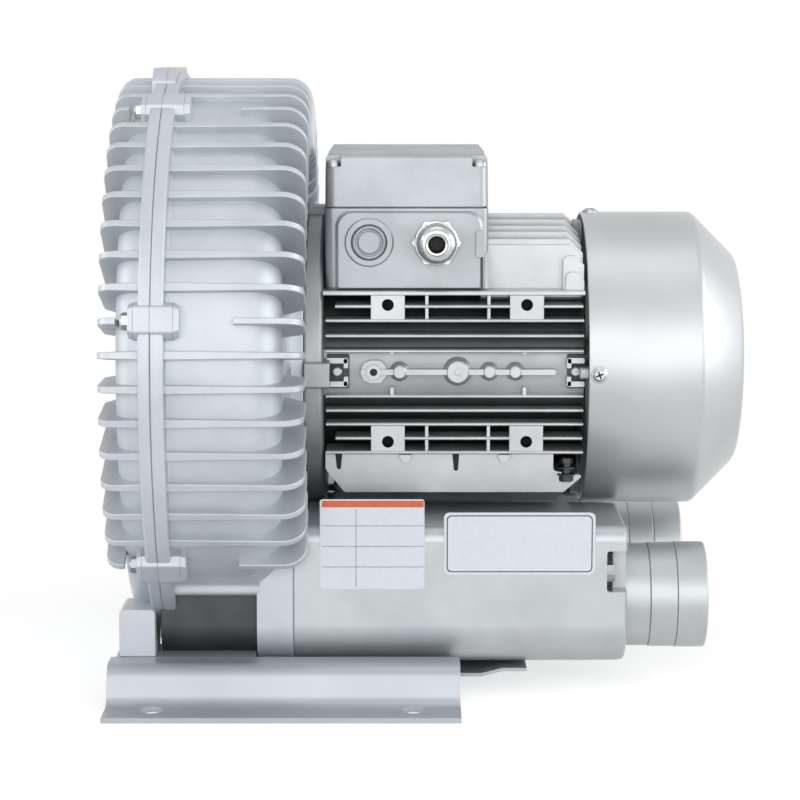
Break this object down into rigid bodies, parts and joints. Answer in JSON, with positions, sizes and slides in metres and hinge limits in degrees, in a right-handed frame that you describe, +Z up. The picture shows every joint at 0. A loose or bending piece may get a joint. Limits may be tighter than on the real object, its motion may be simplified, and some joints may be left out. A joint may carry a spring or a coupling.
{
  "type": "side channel blower",
  "caption": "Side channel blower with a finned cast head, foot-mounted motor, terminal box and two hose silencers.",
  "frame": {"origin": "middle of the four foot holes, on the floor that the foot rails stand on", "axes": "+X along the motor axis from the blower cover towards the fan cowl, +Y across it towards the rear silencer, +Z up"},
  "size_m": [0.367, 0.342, 0.3555],
  "materials": {
    "casting": "satin silver-grey paint on cast aluminium",
    "sheet": "satin silver-grey paint on pressed steel",
    "alloy": "bare die casting, machined at the fits",
    "steel": "turned and ground steel",
    "zinc": "bright zinc and nickel plate",
    "plastic": "black moulded plastic",
    "winding": "varnished copper wire",
    "rubber": "moulded rubber",
    "foam": "open-cell acoustic foam"
  },
  "bodies": {
    "root": {"bearings": "steel", "blanking_plug": "zinc", "blower_cover": "casting", "blower_housing": "casting", "cover_screws": "zinc", "cowl_screws": "zinc", "cross_plate": "sheet", "drive_end_shield": "casting", "earth_screw": "zinc", "fan_cowl": "sheet", "front_foot_rail": "sheet", "front_silencer": "casting", "front_silencer_foam": "foam", "gland_body": "zinc", "gland_nut": "zinc", "leg_screws": "zinc", "lid_screws": "zinc", "motor_frame": "casting", "rear_end_shield": "casting", "rear_foot_rail": "sheet", "rear_silencer": "casting", "rear_silencer_foam": "foam", "shaft_seal": "rubber", "shield_screws": "zinc", "silencer_screws": "zinc", "stator_core": "steel", "stator_windings": "winding", "terminal_board": "plastic", "terminal_box": "casting", "terminal_lid": "casting", "terminal_studs": "zinc"},
    "rotor": {"shaft": "steel", "rotor_core": "alloy", "impeller": "alloy", "impeller_screw": "zinc", "cooling_fan": "plastic"}
  },
  "joints": [
    {"name": "rotor_spin", "type": "hinge", "parent": "root", "child": "rotor", "pos_m": [0, 0, 0.182], "axis": [1, 0, 0], "continuous": true}
  ]
}
